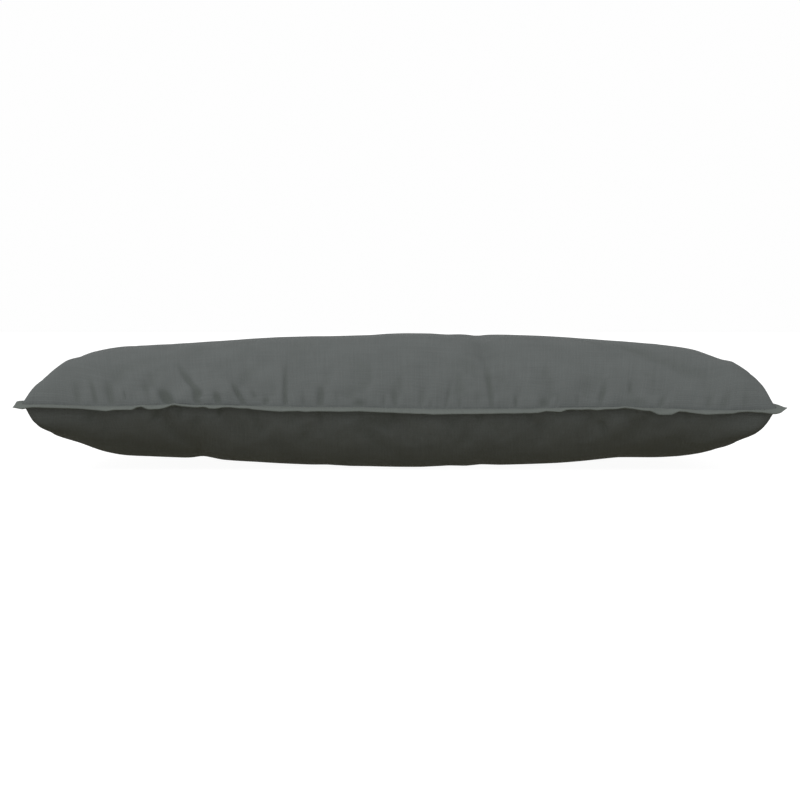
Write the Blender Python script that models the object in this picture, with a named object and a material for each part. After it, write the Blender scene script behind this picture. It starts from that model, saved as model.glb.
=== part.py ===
"""Back cushion lying on its back: a filled body of two cloth panels, and the flat flange of the seam
that joins them all round. Metres, +Z up; the width runs along X and the front long side faces -Y."""

import random
from typing import NamedTuple

import bmesh
import bpy
import numpy as np

# Driving dimensions
WIDTH = 0.600
DEPTH = 0.400
SEAM_HEIGHT = 0.0515
FLANGE_WIDTH = 0.0085
FLANGE_THICK = 0.003
FLANGE_DROOP = 0.0022
STITCH_GAP = 0.0003

# How far the middle of each short and long side is drawn in by the filling
END_PULL = 0.004
SIDE_PULL = 0.013
PULL_POWER = 3

# How a panel rises from the stitch line: over this distance in, with this power of its arc
END_REACH = 0.101
END_POWER = 0.578
SIDE_REACH = 0.075
SIDE_POWER = 0.721
CORNER_SHARPNESS = 4.2
CROWN_FALL = {"top": 0.06, "bottom": 0.24}
CROWN_FALL_POWER = 2.2

# How far in from the stitch line its own rises and dips still show
SEAM_FADE = 0.060

# Grid of each panel: distances of the lines by the edge, and even cells between them
EDGE_LINES = (0.0, 0.0025, 0.006, 0.011, 0.018, 0.027)
CELLS_ALONG = 65
CELLS_ACROSS = 26

HALF_X = WIDTH / 2 - FLANGE_WIDTH
HALF_Y = DEPTH / 2 - FLANGE_WIDTH
TINY = 1e-6


class Section(NamedTuple):
    """Height of the crown over and under the stitch line at one place along the width."""

    x: float
    top: float
    bottom: float


CROWN = (
    Section(x=-0.289, top=0.0485, bottom=0.0737),
    Section(x=-0.268, top=0.0565, bottom=0.0473),
    Section(x=-0.240, top=0.0512, bottom=0.0458),
    Section(x=-0.190, top=0.0470, bottom=0.0431),
    Section(x=-0.130, top=0.0514, bottom=0.0466),
    Section(x=-0.060, top=0.0536, bottom=0.0501),
    Section(x=0.000, top=0.0557, bottom=0.0516),
    Section(x=0.070, top=0.0547, bottom=0.0500),
    Section(x=0.140, top=0.0528, bottom=0.0475),
    Section(x=0.200, top=0.0486, bottom=0.0434),
    Section(x=0.240, top=0.0507, bottom=0.0483),
    Section(x=0.268, top=0.0546, bottom=0.0567),
    Section(x=0.289, top=0.0490, bottom=0.0748),
)


class Rise(NamedTuple):
    """Rise of the stitch line over its usual height at one place along a side."""

    along: float
    rise: float


SEAM_LEVEL = {
    "front": (
        Rise(along=-0.290, rise=0.0029),
        Rise(along=-0.278, rise=0.0019),
        Rise(along=-0.254, rise=0.0012),
        Rise(along=-0.228, rise=0.0005),
        Rise(along=-0.203, rise=0.0008),
        Rise(along=-0.180, rise=0.0017),
        Rise(along=-0.156, rise=0.0009),
        Rise(along=-0.145, rise=0.0013),
        Rise(along=-0.105, rise=0.0004),
        Rise(along=-0.078, rise=-0.0004),
        Rise(along=-0.031, rise=-0.0005),
        Rise(along=0.004, rise=-0.0014),
        Rise(along=0.054, rise=-0.0023),
        Rise(along=0.101, rise=-0.0017),
        Rise(along=0.129, rise=-0.0009),
        Rise(along=0.171, rise=-0.0006),
        Rise(along=0.209, rise=-0.0013),
        Rise(along=0.242, rise=-0.0026),
        Rise(along=0.270, rise=-0.0027),
        Rise(along=0.283, rise=-0.0017),
        Rise(along=0.291, rise=0.0003),
    ),
    "right": (
        Rise(along=-0.190, rise=0.0003),
        Rise(along=-0.172, rise=0.0024),
        Rise(along=-0.130, rise=0.0018),
        Rise(along=-0.080, rise=-0.0012),
        Rise(along=-0.010, rise=0.0008),
        Rise(along=0.050, rise=-0.0022),
        Rise(along=0.120, rise=0.0014),
        Rise(along=0.190, rise=0.0020),
    ),
    "back": (
        Rise(along=-0.290, rise=0.0005),
        Rise(along=-0.230, rise=-0.0016),
        Rise(along=-0.165, rise=0.0024),
        Rise(along=-0.100, rise=-0.0004),
        Rise(along=-0.040, rise=0.0016),
        Rise(along=0.030, rise=-0.0018),
        Rise(along=0.095, rise=0.0010),
        Rise(along=0.170, rise=-0.0022),
        Rise(along=0.235, rise=0.0006),
        Rise(along=0.290, rise=0.0020),
    ),
    "left": (
        Rise(along=-0.190, rise=0.0029),
        Rise(along=-0.172, rise=0.0032),
        Rise(along=-0.120, rise=-0.0010),
        Rise(along=-0.060, rise=0.0016),
        Rise(along=0.010, rise=-0.0016),
        Rise(along=0.085, rise=0.0018),
        Rise(along=0.140, rise=-0.0012),
        Rise(along=0.190, rise=0.0005),
    ),
}


class Fold(NamedTuple):
    """Trough that runs in from the stitch line over one panel, deepest at some way in."""

    side: str
    panel: str
    along: float
    reach: float
    deepest: float
    half_width: float
    depth: float
    lean: float = 0.0


# Columns: side, panel, along, reach, deepest, half_width, depth, lean
FRONT_FOLDS = (
    Fold("front", "top", -0.250, 0.030, 0.008, 0.0075, 0.0016),
    Fold("front", "top", -0.229, 0.034, 0.010, 0.0080, 0.0018, 0.004),
    Fold("front", "top", -0.205, 0.028, 0.008, 0.0075, 0.0013),
    Fold("front", "top", -0.179, 0.040, 0.012, 0.0085, 0.0026),
    Fold("front", "top", -0.158, 0.062, 0.024, 0.0080, 0.0023, -0.014),
    Fold("front", "top", -0.124, 0.034, 0.010, 0.0080, 0.0017, 0.003),
    Fold("front", "top", -0.106, 0.026, 0.008, 0.0070, 0.0014),
    Fold("front", "top", -0.087, 0.070, 0.018, 0.0080, 0.0022, 0.005),
    Fold("front", "top", -0.063, 0.030, 0.008, 0.0075, 0.0013),
    Fold("front", "top", -0.031, 0.036, 0.012, 0.0110, 0.0016),
    Fold("front", "top", -0.006, 0.028, 0.008, 0.0080, 0.0016, -0.003),
    Fold("front", "top", 0.018, 0.030, 0.009, 0.0080, 0.0017),
    Fold("front", "top", 0.038, 0.034, 0.010, 0.0080, 0.0016, 0.004),
    Fold("front", "top", 0.072, 0.190, 0.060, 0.0095, 0.0031, -0.012),
    Fold("front", "top", 0.096, 0.030, 0.009, 0.0075, 0.0014),
    Fold("front", "top", 0.118, 0.034, 0.010, 0.0085, 0.0020, -0.004),
    Fold("front", "top", 0.156, 0.060, 0.016, 0.0085, 0.0023, 0.003),
    Fold("front", "top", 0.179, 0.034, 0.012, 0.0075, 0.0016),
    Fold("front", "top", 0.201, 0.040, 0.012, 0.0085, 0.0025, 0.004),
    Fold("front", "top", 0.247, 0.045, 0.014, 0.0120, 0.0018, -0.006),
    Fold("front", "bottom", -0.232, 0.036, 0.010, 0.0090, 0.0017),
    Fold("front", "bottom", -0.184, 0.045, 0.012, 0.0085, 0.0022, 0.004),
    Fold("front", "bottom", -0.157, 0.160, 0.050, 0.0095, 0.0029, -0.004),
    Fold("front", "bottom", -0.132, 0.040, 0.012, 0.0080, 0.0017),
    Fold("front", "bottom", -0.060, 0.034, 0.010, 0.0090, 0.0013),
    Fold("front", "bottom", 0.005, 0.045, 0.012, 0.0090, 0.0020, 0.003),
    Fold("front", "bottom", 0.058, 0.034, 0.010, 0.0090, 0.0014),
    Fold("front", "bottom", 0.109, 0.055, 0.014, 0.0090, 0.0022, 0.006),
    Fold("front", "bottom", 0.154, 0.045, 0.012, 0.0085, 0.0021, -0.005),
    Fold("front", "bottom", 0.187, 0.050, 0.012, 0.0085, 0.0020),
    Fold("front", "bottom", 0.240, 0.040, 0.012, 0.0110, 0.0016),
)


class Lift(NamedTuple):
    """Place where the outer edge of the flange stands above or hangs below its usual line."""

    x: float
    y: float
    lift: float
    half_width: float


FLANGE_LIFTS = (
    Lift(x=-0.200, y=-0.184, lift=0.0010, half_width=0.009),
    Lift(x=-0.175, y=-0.182, lift=0.0014, half_width=0.014),
    Lift(x=-0.150, y=-0.180, lift=0.0008, half_width=0.010),
    Lift(x=0.030, y=-0.179, lift=-0.0011, half_width=0.050),
    Lift(x=0.140, y=-0.181, lift=0.0008, half_width=0.016),
    Lift(x=0.174, y=-0.182, lift=0.0018, half_width=0.013),
    Lift(x=0.208, y=-0.184, lift=-0.0022, half_width=0.008),
    Lift(x=0.268, y=-0.188, lift=0.0014, half_width=0.007),
    Lift(x=0.283, y=-0.192, lift=-0.0030, half_width=0.007),
    Lift(x=0.298, y=-0.198, lift=0.0022, half_width=0.007),
    Lift(x=0.288, y=-0.172, lift=0.0016, half_width=0.012),
    Lift(x=0.284, y=0.060, lift=-0.0016, half_width=0.020),
    Lift(x=0.278, y=0.189, lift=0.0026, half_width=0.012),
    Lift(x=-0.120, y=0.178, lift=0.0018, half_width=0.022),
    Lift(x=-0.282, y=0.189, lift=-0.0020, half_width=0.010),
    Lift(x=-0.288, y=0.178, lift=0.0030, half_width=0.012),
    Lift(x=-0.288, y=-0.176, lift=0.0032, half_width=0.014),
    Lift(x=-0.298, y=-0.198, lift=0.0010, half_width=0.008),
)

# The folds of the other three sides come by chance, within these limits
HIDDEN_SIDES = {"back": HALF_X, "left": HALF_Y, "right": HALF_Y}
HIDDEN_SEED = 11
HIDDEN_MARGIN = 0.040
HIDDEN_SPACING = (0.022, 0.042)
HIDDEN_REACH = (0.028, 0.060)
HIDDEN_DEEPEST_SHARE = 0.3
HIDDEN_HALF_WIDTH = (0.008, 0.012)
HIDDEN_DEPTH = (0.0012, 0.0024)
HIDDEN_LEAN = (-0.006, 0.006)


class Cloth(NamedTuple):
    """Plain dark grey woven cloth, the same on panels and flange."""

    name: str
    colour: tuple
    roughness: float


PANEL_CLOTH = Cloth("panel_cloth", (0.086, 0.093, 0.091, 1.0), 0.85)
FLANGE_CLOTH = Cloth("flange_cloth", (0.090, 0.097, 0.095, 1.0), 0.85)


def smooth_rows(at, places, values):
    """Read the smooth curve through a table's rows at the places given."""
    places = np.asarray(places)
    values = np.asarray(values)
    slopes = np.gradient(values, places)
    row = np.clip(np.searchsorted(places, at) - 1, 0, len(places) - 2)
    span = places[row + 1] - places[row]
    t = np.clip((at - places[row]) / span, 0.0, 1.0)
    leave = (1 + 2 * t) * (1 - t) ** 2 * values[row] + t * (1 - t) ** 2 * span * slopes[row]
    arrive = t ** 2 * (3 - 2 * t) * values[row + 1] - t ** 2 * (1 - t) * span * slopes[row + 1]
    return leave + arrive


def grid_lines(half, cells):
    """Positions of a panel's grid lines from edge to edge, as fractions of its half size."""
    edge = np.array(EDGE_LINES)
    middle = np.linspace(-half + edge[-1], half - edge[-1], cells + 1)
    return np.concatenate([-half + edge[:-1], middle, half - edge[-2::-1]]) / half


def outline(u, v):
    """Plan position of a grid point, with the four sides drawn in between the corners."""
    x = u * (HALF_X - END_PULL * (1 - np.abs(v) ** PULL_POWER))
    y = v * (HALF_Y - SIDE_PULL * (1 - np.abs(u) ** PULL_POWER))
    return x, y


def inward(side, u, v):
    """Distance from one side's stitch line."""
    steps = {"front": (1 + v) * HALF_Y, "back": (1 - v) * HALF_Y,
             "left": (1 + u) * HALF_X, "right": (1 - u) * HALF_X}
    return steps[side]


def seam_height(u, v):
    """Height that both panels start from: the stitch line at the edge, level in the middle."""
    x, y = outline(u, v)
    total = 0.0
    weights = 0.0
    nearest = np.full(np.shape(u), HALF_X)
    for side, rows in SEAM_LEVEL.items():
        along = x if side in ("front", "back") else y
        distance = np.maximum(inward(side, u, v), TINY)
        rise = smooth_rows(along, [row.along for row in rows], [row.rise for row in rows])
        total = total + rise / distance ** 2
        weights = weights + 1 / distance ** 2
        nearest = np.minimum(nearest, distance)
    return SEAM_HEIGHT + total / weights * np.exp(-(nearest / SEAM_FADE) ** 2)


def rounding(distance, reach, power):
    """Share of the full crown at some distance in from a stitch line."""
    near = np.clip(distance / reach, TINY, 1.0)
    return (1 - (1 - near) ** 2) ** power


def crown(panel, u, v):
    """Height of a panel over the stitched edge: full in the middle, rounded to all four sides."""
    x, _ = outline(u, v)
    ends = rounding(HALF_X * (1 - np.abs(u)), END_REACH, END_POWER)
    sides = rounding(HALF_Y * (1 - np.abs(v)), SIDE_REACH, SIDE_POWER)
    share = (ends ** -CORNER_SHARPNESS + sides ** -CORNER_SHARPNESS - 1) ** (-1 / CORNER_SHARPNESS)
    full = smooth_rows(x, [row.x for row in CROWN], [getattr(row, panel) for row in CROWN])
    height = full * share * (1 - CROWN_FALL[panel] * np.abs(v) ** CROWN_FALL_POWER)
    return np.where(np.maximum(np.abs(u), np.abs(v)) > 1 - TINY, 0.0, height)


def hidden_folds():
    """Folds of the three sides away from the front, as uneven as the front's."""
    chance = random.Random(HIDDEN_SEED)
    folds = []
    for side, half in HIDDEN_SIDES.items():
        for panel in ("top", "bottom"):
            along = HIDDEN_MARGIN - half
            while along < half - HIDDEN_MARGIN:
                reach = chance.uniform(*HIDDEN_REACH)
                folds.append(Fold(side, panel, along, reach, HIDDEN_DEEPEST_SHARE * reach,
                                  chance.uniform(*HIDDEN_HALF_WIDTH), chance.uniform(*HIDDEN_DEPTH),
                                  chance.uniform(*HIDDEN_LEAN)))
                along += chance.uniform(*HIDDEN_SPACING)
    return folds


def fold_depths(folds, panel, u, v, height):
    """Depth of the folds at each grid point of one panel."""
    x, y = outline(u, v)
    depths = np.zeros(np.shape(u))
    for fold in folds:
        if fold.panel != panel:
            continue
        along = x if fold.side in ("front", "back") else y
        climb = np.hypot(inward(fold.side, u, v), height)
        share = np.clip(climb / fold.reach, 0.0, 1.0)
        off_line = (along - fold.along - fold.lean * share) / fold.half_width
        peak = fold.deepest / fold.reach
        ramp = np.where(share < peak, share / peak, (1 - share) / (1 - peak))
        depths += fold.depth * np.exp(-off_line ** 2) * ramp ** 2 * (3 - 2 * ramp)
    return depths


def add_panel(bm, panel, lines_x, lines_y, folds):
    """Add one panel as a grid, crowned and creased, and return its outer edges."""
    sign = 1 if panel == "top" else -1
    cells_x = len(lines_x) - 1
    cells_y = len(lines_y) - 1
    made = bmesh.ops.create_grid(bm, x_segments=cells_x, y_segments=cells_y, size=1.0)
    verts = made["verts"]
    column = [round((vert.co.x + 1) / 2 * cells_x) for vert in verts]
    row = [round((vert.co.y + 1) / 2 * cells_y) for vert in verts]
    u = lines_x[column]
    v = lines_y[row]
    x, y = outline(u, v)
    height = crown(panel, u, v)
    z = seam_height(u, v) + sign * (FLANGE_THICK / 2 + height)
    faces = {face for vert in verts for face in vert.link_faces}
    if panel == "bottom":
        bmesh.ops.reverse_faces(bm, faces=list(faces))
    for vert, place in zip(verts, zip(x, y, z)):
        vert.co = place
    bm.normal_update()
    depths = fold_depths(folds, panel, u, v, height)
    for vert, depth in zip(verts, depths):
        vert.co -= vert.normal * depth
        vert.co.z = max(vert.co.z, 0.0)
    return [edge for face in faces for edge in face.edges if edge.is_boundary]


def cloth_material(cloth):
    """Principled material of one cloth."""
    material = bpy.data.materials.new(cloth.name)
    material.use_nodes = True
    shader = material.node_tree.nodes["Principled BSDF"]
    shader.inputs["Base Color"].default_value = cloth.colour
    shader.inputs["Roughness"].default_value = cloth.roughness
    shader.inputs["Metallic"].default_value = 0.0
    material.diffuse_color = cloth.colour
    return material


def add_object(name, bm, cloth, parent):
    """Turn a finished bmesh into a named object with its cloth."""
    bmesh.ops.recalc_face_normals(bm, faces=bm.faces)
    mesh = bpy.data.meshes.new(name)
    bm.to_mesh(mesh)
    bm.free()
    mesh.shade_smooth()
    mesh.materials.append(cloth_material(cloth))
    item = bpy.data.objects.new(name, mesh)
    item.parent = parent
    bpy.context.scene.collection.objects.link(item)
    return item


def build_cushion(lines_x, lines_y, parent):
    """Filled body: top and bottom panels joined by the low stitched edge."""
    folds = list(FRONT_FOLDS) + hidden_folds()
    bm = bmesh.new()
    edges = []
    for panel in ("top", "bottom"):
        edges += add_panel(bm, panel, lines_x, lines_y, folds)
    bmesh.ops.bridge_loops(bm, edges=edges)
    return add_object("cushion", bm, PANEL_CLOTH, parent)


def perimeter(lines_x, lines_y):
    """Stations round the stitch line: grid place and outward direction, from one corner to the next."""
    front = [(u, -1.0, 0.0, -1.0) for u in lines_x[1:-1]]
    right = [(1.0, v, 1.0, 0.0) for v in lines_y[1:-1]]
    back = [(u, 1.0, 0.0, 1.0) for u in lines_x[-2:0:-1]]
    left = [(-1.0, v, -1.0, 0.0) for v in lines_y[-2:0:-1]]
    return [(-1.0, -1.0, -1.0, -1.0), *front, (1.0, -1.0, 1.0, -1.0), *right,
            (1.0, 1.0, 1.0, 1.0), *back, (-1.0, 1.0, -1.0, 1.0), *left]


def edge_lift(x, y):
    """Height of the flange's outer edge against the stitch line at a point of the outline."""
    lift = -FLANGE_DROOP
    for row in FLANGE_LIFTS:
        lift += row.lift * np.exp(-((x - row.x) ** 2 + (y - row.y) ** 2) / row.half_width ** 2)
    return lift


def build_flange(lines_x, lines_y, parent):
    """Flat seam flange: a thin section with a rounded outer edge, carried round the stitch line."""
    half_thick = FLANGE_THICK / 2
    shoulder = FLANGE_WIDTH - half_thick
    bm = bmesh.new()
    rings = []
    for u, v, out_x, out_y in perimeter(lines_x, lines_y):
        x, y = outline(u, v)
        z = float(seam_height(u, v))
        lift = edge_lift(x, y)
        section = ((STITCH_GAP, -half_thick), (STITCH_GAP, half_thick), (shoulder, lift + half_thick),
                   (FLANGE_WIDTH, lift), (shoulder, lift - half_thick))
        rings.append([bm.verts.new((x + out * out_x, y + out * out_y, z + up)) for out, up in section])
    for here, beyond in zip(rings, rings[1:] + rings[:1]):
        for corner, after in enumerate([*range(1, len(here)), 0]):
            bm.faces.new((here[corner], beyond[corner], beyond[after], here[after]))
    return add_object("flange", bm, FLANGE_CLOTH, parent)


def main():
    """Clear the scene and build the cushion in its own frame."""
    for old in list(bpy.data.objects):
        bpy.data.objects.remove(old, do_unlink=True)
    root = bpy.data.objects.new("back_cushion", None)
    bpy.context.scene.collection.objects.link(root)
    lines_x = grid_lines(HALF_X, CELLS_ALONG)
    lines_y = grid_lines(HALF_Y, CELLS_ACROSS)
    build_cushion(lines_x, lines_y, root)
    build_flange(lines_x, lines_y, root)


main()
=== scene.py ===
"""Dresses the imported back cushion: its padded cover, its sewn flange, the stitching and a plain studio."""

import logging
import math
import random
from dataclasses import dataclass, field
from enum import Enum
from functools import partialmethod
from typing import Any, NamedTuple

import bmesh
import bpy
import numpy as np
from bpy.types import Material, Mesh, Object
from mathutils import Matrix, Vector, noise
from mathutils.bvhtree import BVHTree


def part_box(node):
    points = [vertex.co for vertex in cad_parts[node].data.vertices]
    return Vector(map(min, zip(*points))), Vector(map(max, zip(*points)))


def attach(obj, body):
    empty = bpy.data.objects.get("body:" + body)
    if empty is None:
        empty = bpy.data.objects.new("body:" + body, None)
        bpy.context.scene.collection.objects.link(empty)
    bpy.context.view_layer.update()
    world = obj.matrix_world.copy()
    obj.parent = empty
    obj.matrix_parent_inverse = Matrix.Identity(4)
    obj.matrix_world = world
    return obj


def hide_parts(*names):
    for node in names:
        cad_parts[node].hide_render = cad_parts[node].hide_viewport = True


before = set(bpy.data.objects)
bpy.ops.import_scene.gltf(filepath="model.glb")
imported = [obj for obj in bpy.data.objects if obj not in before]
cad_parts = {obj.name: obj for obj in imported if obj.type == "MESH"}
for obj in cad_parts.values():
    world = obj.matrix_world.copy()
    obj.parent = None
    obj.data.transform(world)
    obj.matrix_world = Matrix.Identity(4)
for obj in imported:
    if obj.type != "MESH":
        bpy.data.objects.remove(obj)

LOG = logging.getLogger("back_cushion")
CHART = "cloth_chart"
# How deep the cover's creases are at each point; the cloth's colour is darkened by it as painted shade
CREASE = "crease_depth"
FLAT = "flat"
MM = 0.001
ON_SEAM = 0.9999
LOWEST = (-math.inf, -math.inf, 0.0)
# The corners of the square that the seam is drawn on, clockwise from the back left: their u, then their v
SQUARE = ((-1, 1, 1, -1, -1), (1, 1, -1, -1, 1))
Colour = tuple[float, float, float]
Place = tuple[float, float, float]
Pair = tuple[float, float]
Array = np.ndarray


class Panel(Enum):
    """The cover's two panels. The value is the way each one faces."""

    TOP = 1
    BOTTOM = -1


class Edge(Enum):
    """The cover's four seams: the axis that runs along each one, and the side of the middle it is on."""

    FRONT = (0, -1)
    RIGHT = (1, 1)
    BACK = (0, 1)
    LEFT = (1, -1)


class Pucker(NamedTuple):
    """One small crease pressed into a panel beside a seam, in millimetres of cloth."""

    panel: Panel
    along: float
    start: float
    reach: float
    half_width: float
    depth: float
    lean: float


# Creases of the front seam that can be seen. Columns: along, start, reach, half_width, depth, lean
FRONT_PUCKERS = tuple(
    Pucker(panel, *row)
    for panel, rows in {
        Panel.TOP: (
            (-250, 0, 16, 4, 0.5, 0), (-236, 0, 20, 3, 0.8, -2), (-224, 0, 22, 3.8, 0.8, -1),
            (-213, 3, 12, 1.4, 0.7, 0), (-195, 0, 24, 3.4, 0.6, -1), (-180, 0, 17, 5.6, 2.2, -2),
            (-154, 6, 42, 3.4, 1.2, -16), (-157, 0, 14, 3.4, 1.2, -2), (-141, 0, 13, 3.6, 1.4, -3),
            (-121, 0, 24, 3, 1.15, -10), (-112, 5, 12, 2.6, 0.75, -3), (-105, 0, 9, 3, 0.9, 2),
            (-89, 0, 52, 2.2, 0.85, 4), (-75, 0, 20, 1.8, 0.5, -1), (-62, 0, 22, 3.2, 0.75, 2),
            (-48, 0, 14, 2, 0.35, -2), (-31, 0, 8, 6.5, 1.2, 0), (-13, 0, 14, 2.4, 0.5, 2),
            (-3, 0, 20, 2.6, 0.55, -2), (16, 0, 26, 4, 0.45, 2), (24, 0, 9, 2.6, 0.6, 0),
            (36, 0, 30, 1.5, 0.5, 4), (47, 0, 14, 2, 0.35, -2), (72, 0, 60, 2.4, 0.7, -9),
            (91, 0, 14, 1.7, 0.65, -2), (113, 0, 11, 4.8, 1, -2), (122, 0, 14, 2, 0.45, 2),
            (139, 0, 12, 2, 0.35, -2), (156, 0, 32, 2.8, 0.65, 2), (178, 12, 14, 1.6, 0.55, -2),
            (182, 0, 9, 14, 0.5, 0), (203, 0, 12, 3.2, 0.8, 1), (240, 0, 11, 3.6, 0.5, 1),
            (252, 0, 11, 4.4, 0.5, 2), (268, 0, 10, 3.4, 0.4, 1),
        ),
        Panel.BOTTOM: (
            (-241, 0, 18, 4, 0.45, 3), (-188, 0, 20, 4, 0.7, -3), (-172, 0, 18, 3.6, 0.6, 3),
            (-141, 0, 14, 3.4, 0.8, 2), (-60, 0, 18, 4.4, 0.4, -3), (-5, 0, 20, 4.4, 0.45, 2),
            (62, 0, 18, 4, 0.4, 3), (101, 0, 20, 4, 0.5, -2), (155, 12, 24, 6, 0.7, 3),
            (178, 0, 18, 4, 0.45, -3), (224, 0, 18, 4, 0.45, -2),
        ),
    }.items()
    for row in rows
)


class SeamHeight(NamedTuple):
    """Heights above the table of the seam and of the flange's fold, in millimetres."""

    along: float
    root: float
    fold: float


# Where the photograph shows the seam. Columns: along, root, fold
SEAM_HEIGHTS = {
    edge: tuple(SeamHeight(*row) for row in rows)
    for edge, rows in {
        Edge.FRONT: (
            (-300, 54.4, 51.9), (-294.3, 54.4, 50.4), (-291.5, 54.4, 51.5), (-287.1, 54, 52.3),
            (-286, 53.9, 52.3), (-280, 53.6, 52.1), (-251, 52.6, 51.1), (-230, 52.1, 49), (-224, 52, 49.9),
            (-209, 52.2, 50.1), (-206, 52.3, 52.1), (-202, 52.4, 52.5), (-197, 52.5, 50.2),
            (-189, 52.8, 50.6), (-183, 53.1, 51.8), (-178, 53.2, 53.8), (-176, 53.1, 54), (-162, 52.7, 51.8),
            (-158, 52.6, 51.8), (-153, 52.5, 52.5), (-149, 52.6, 51.1), (-143, 52.7, 50.9), (-139, 52.5, 52),
            (-133, 52.3, 52), (-125, 52.2, 51.1), (-119, 52.1, 51.1), (-115, 52.1, 50.2), (-93, 51.7, 48.4),
            (-80, 51.2, 49), (-73, 51.1, 48.3), (-65, 51.1, 48.9), (-48, 51.1, 48.3), (-30, 51, 48.8),
            (-17, 50.6, 47.8), (-5, 50.3, 47.9), (3, 50.2, 47), (17, 49.8, 46.9), (25, 49.7, 46.3),
            (101, 49.9, 47.2), (109, 50.1, 47.7), (114, 50.2, 48.8), (126, 50.5, 48.4), (130, 50.6, 49.9),
            (133, 50.6, 50.2), (148, 50.7, 50.2), (154, 50.8, 49.6), (160, 50.8, 50.4), (168, 50.9, 50.6),
            (176, 50.9, 51.8), (189, 50.6, 49.6), (196, 50.4, 49.1), (202, 50.3, 46.3), (207, 50.2, 45.9),
            (212, 50, 46.1), (218, 49.9, 48.8), (220, 49.8, 48.6), (223, 49.6, 48.7), (230, 49.3, 47.3),
            (239, 49.1, 46.3), (260, 48.8, 47.5), (264, 48.8, 48.4), (272, 49.1, 48.8), (283, 49.7, 48.3),
            (287, 50.2, 47.6), (291.3, 50.8, 46.9), (295.4, 50.8, 47.4), (300, 50.8, 51.6),
        ),
        Edge.RIGHT: (
            (-191.5, 50.8, 51.6), (-184, 53, 51.2), (-170, 54, 52), (-140, 53.4, 51.4),
        ),
        Edge.LEFT: (
            (-191.5, 54.4, 51.9), (-184, 56.2, 55.6), (-170, 56, 55.2), (-140, 54, 52),
        ),
    }.items()
}


class Trim(NamedTuple):
    """How much higher than the CAD body's the middle of a panel stands, in millimetres."""

    along: float
    lift: float


# Where the photograph's outline leaves the CAD body's. Columns: along, lift
PANEL_TRIMS = {
    panel: tuple(Trim(*row) for row in rows)
    for panel, rows in {
        Panel.TOP: (
            (-290, 0), (-285, 0.1), (-282, 0), (-278, -0.8), (-275, -0.9), (-265, 0.3), (-255, -0.6),
            (-240, -0.1), (-226, -0.2), (-213, -1), (-197, -0.3), (-186, -1.2), (-171, 0), (-154, -0.5),
            (-140, -0.5), (-102, 0.3), (-74, 0.3), (-58, -0.1), (-24, -0.3), (-11, 0.4), (3, 0.6), (26, 0.4),
            (40, -0.4), (49, 0.1), (54, 0), (59, -0.3), (65, -1.7), (67, -1.6), (72, -0.2), (74, 0.1),
            (93, 0.5), (115, 0.3), (150, -0.5), (183, 0.1), (203, -0.5), (233, 0.1), (238, 0), (249, -1.3),
            (256, -1.8), (258, -1.6), (264, 0.4), (266, 0.8), (270, 0.2), (278, -1.5), (285, -0.3), (290, 0),
        ),
        Panel.BOTTOM: (
            (-290, 0), (-285, -0.1), (-277, 0), (-262, -0.7), (-249, 0.8), (-244, 1), (-224, 0.5),
            (-203, 0.9), (-176, 0.3), (-170, 0.6), (-163, 2), (-160, 2.2), (-146, 0.1), (-135, -0.2),
            (-73, -0.1), (-60, 0.4), (-41, -0.1), (-26, 0.1), (18, -0.2), (40, 0.5), (54, -0.2), (66, 0.7),
            (82, -0.2), (129, -0.4), (151, 0), (178, 1.3), (228, 0.1), (260, 0.7), (279, -0.8), (290, 0),
        ),
    }.items()
}


class CornerTrim(NamedTuple):
    """How much higher than the CAD body's a panel stands in a ring round a front corner, in millimetres."""

    panel: Panel
    end: int
    ring: float
    spread: float
    lift: float


# The same beside the front corners. Columns: panel, end (1 is the right one), ring, spread, lift
CORNER_TRIMS = (
    CornerTrim(Panel.TOP, 1, 42, 18, 1.3),
    CornerTrim(Panel.TOP, -1, 26, 13, -1.0),
    CornerTrim(Panel.TOP, -1, 55, 16, 0.7),
    CornerTrim(Panel.BOTTOM, 1, 26, 16, -0.6),
    CornerTrim(Panel.BOTTOM, -1, 42, 18, -0.9),
)

# How far the cover fills its corners past the CAD body's, in millimetres, at the right end (1) and the left
CORNER_FILLS = {
    (Panel.TOP, 1): 1.4, (Panel.TOP, -1): 3.0, (Panel.BOTTOM, 1): 3.6, (Panel.BOTTOM, -1): 3.0,
}


class ProfilePoint(NamedTuple):
    """One point of the flange's cross-section, in millimetres."""

    out: float
    lift: float


# The flange's upper side from its root to its rounded fold. Columns: out, lift
FLANGE_PROFILE = tuple(
    ProfilePoint(*row)
    for row in (
        (-1.6, 0.5), (-0.4, 0.6), (0.6, 0.62), (1.2, 0.38), (1.8, 0.62), (2.7, 0.84), (4, 0.92),
        (5.6, 0.96), (6.9, 0.97), (7.8, 0.84), (8.3, 0.5), (8.5, 0),
    )
)


@dataclass(frozen=True)
class Wire:
    """An output socket of a node tree, on which sums are written as plain expressions."""

    graph: "Graph"
    socket: bpy.types.NodeSocket

    def part(self, output: int | str) -> "Wire":
        """Another output of the same node."""
        return Wire(self.graph, self.socket.node.outputs[output])

    def apply(self, operation: str, other: "Value" = 0.0) -> "Wire":
        """A Math node of one operation on this value and another."""
        return self.graph.node("ShaderNodeMath", {0: self, 1: other}, operation=operation)

    def __rsub__(self, other: float) -> "Wire":
        """other - self."""
        return self.graph.node("ShaderNodeMath", {0: other, 1: self}, operation="SUBTRACT")

    __add__ = __radd__ = partialmethod(apply, "ADD")
    __sub__ = partialmethod(apply, "SUBTRACT")
    __mul__ = __rmul__ = partialmethod(apply, "MULTIPLY")
    __abs__ = partialmethod(apply, "ABSOLUTE")
    sine = partialmethod(apply, "SINE")
    levelled = partialmethod(apply, "TANH")
    or_higher = partialmethod(apply, "MAXIMUM")


Value = Wire | float


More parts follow.
